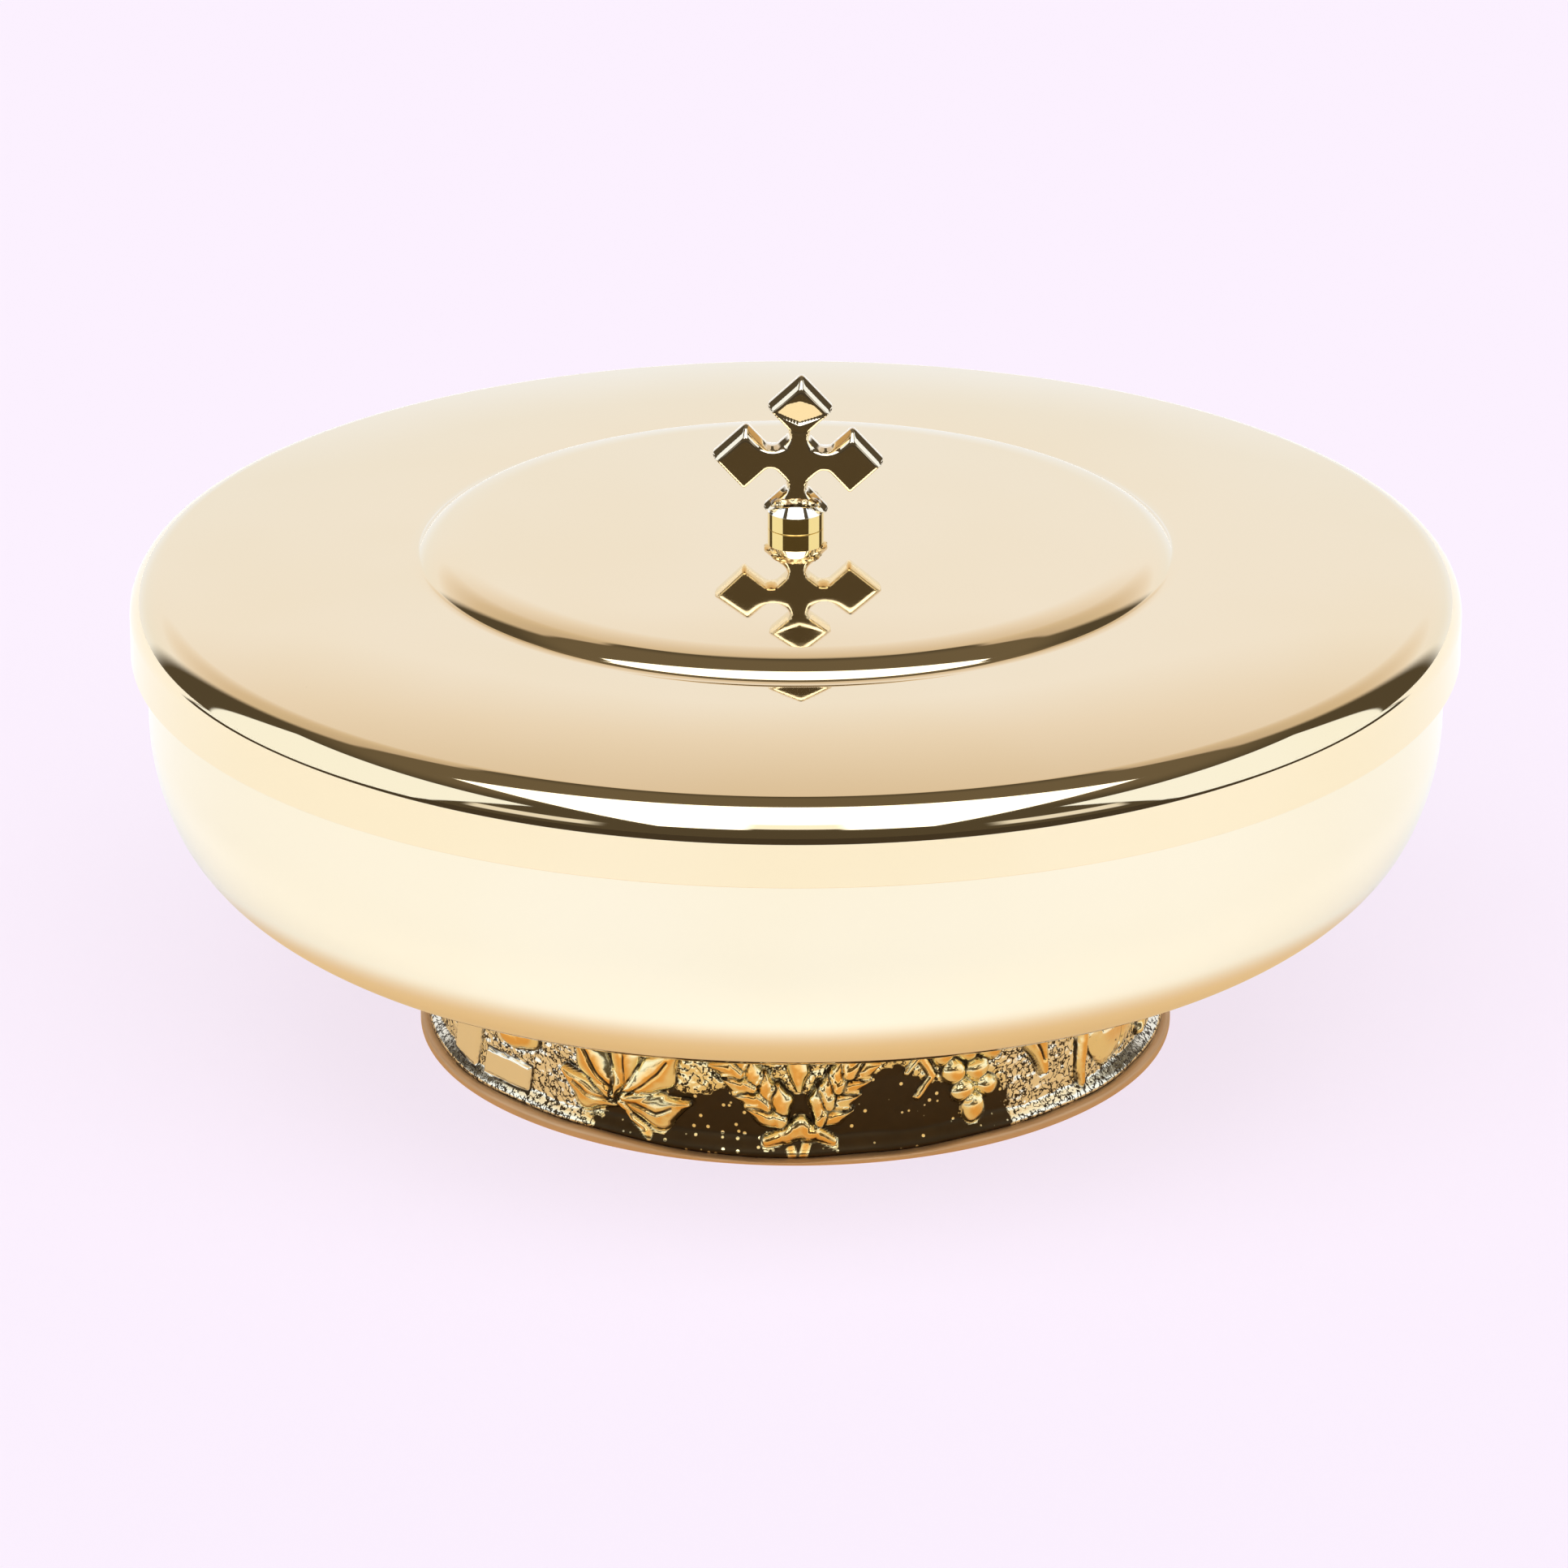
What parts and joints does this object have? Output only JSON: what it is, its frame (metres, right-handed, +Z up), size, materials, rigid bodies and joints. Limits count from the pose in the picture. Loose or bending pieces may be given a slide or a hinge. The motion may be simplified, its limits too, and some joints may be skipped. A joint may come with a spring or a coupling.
{
  "type": "ciborium",
  "caption": "Low ciborium: shallow spun bowl on a cast relief ring foot, with a slip-over domed lid topped by a small cross.",
  "frame": {"origin": "centre of the foot's underside, on the surface the vessel stands on", "axes": "+Z up along the vessel's axis, the cross's plate facing -Y"},
  "size_m": [0.19, 0.19, 0.0979],
  "materials": {
    "polished_gold": "mirror polished, gold plated",
    "finial_gold": "cast, polished, gold plated",
    "cast_gold": "cast relief, bright gold with darkened recesses",
    "satin_gold": "satin turned, gold plated",
    "plain_brass": "plain turned brass",
    "steel": "spring steel"
  },
  "bodies": {
    "vessel": {"foot_base": "satin_gold", "foot_casting": "cast_gold", "foot_locating_pins": "plain_brass", "foot_washer": "plain_brass", "foot_spring_washer": "steel", "foot_screw": "plain_brass", "bowl_shell": "polished_gold", "bowl_boss": "plain_brass"},
    "lid": {"lid_shell": "polished_gold", "finial_collar": "polished_gold", "finial_cross": "finial_gold", "finial_backing_washer": "plain_brass", "finial_spring_washer": "steel", "finial_cap_nut": "plain_brass"}
  },
  "joints": [
    {"name": "lid_lift", "type": "slide", "parent": "vessel", "child": "lid", "axis": [0, 0, 1], "range_m": [0, 0.06]}
  ]
}
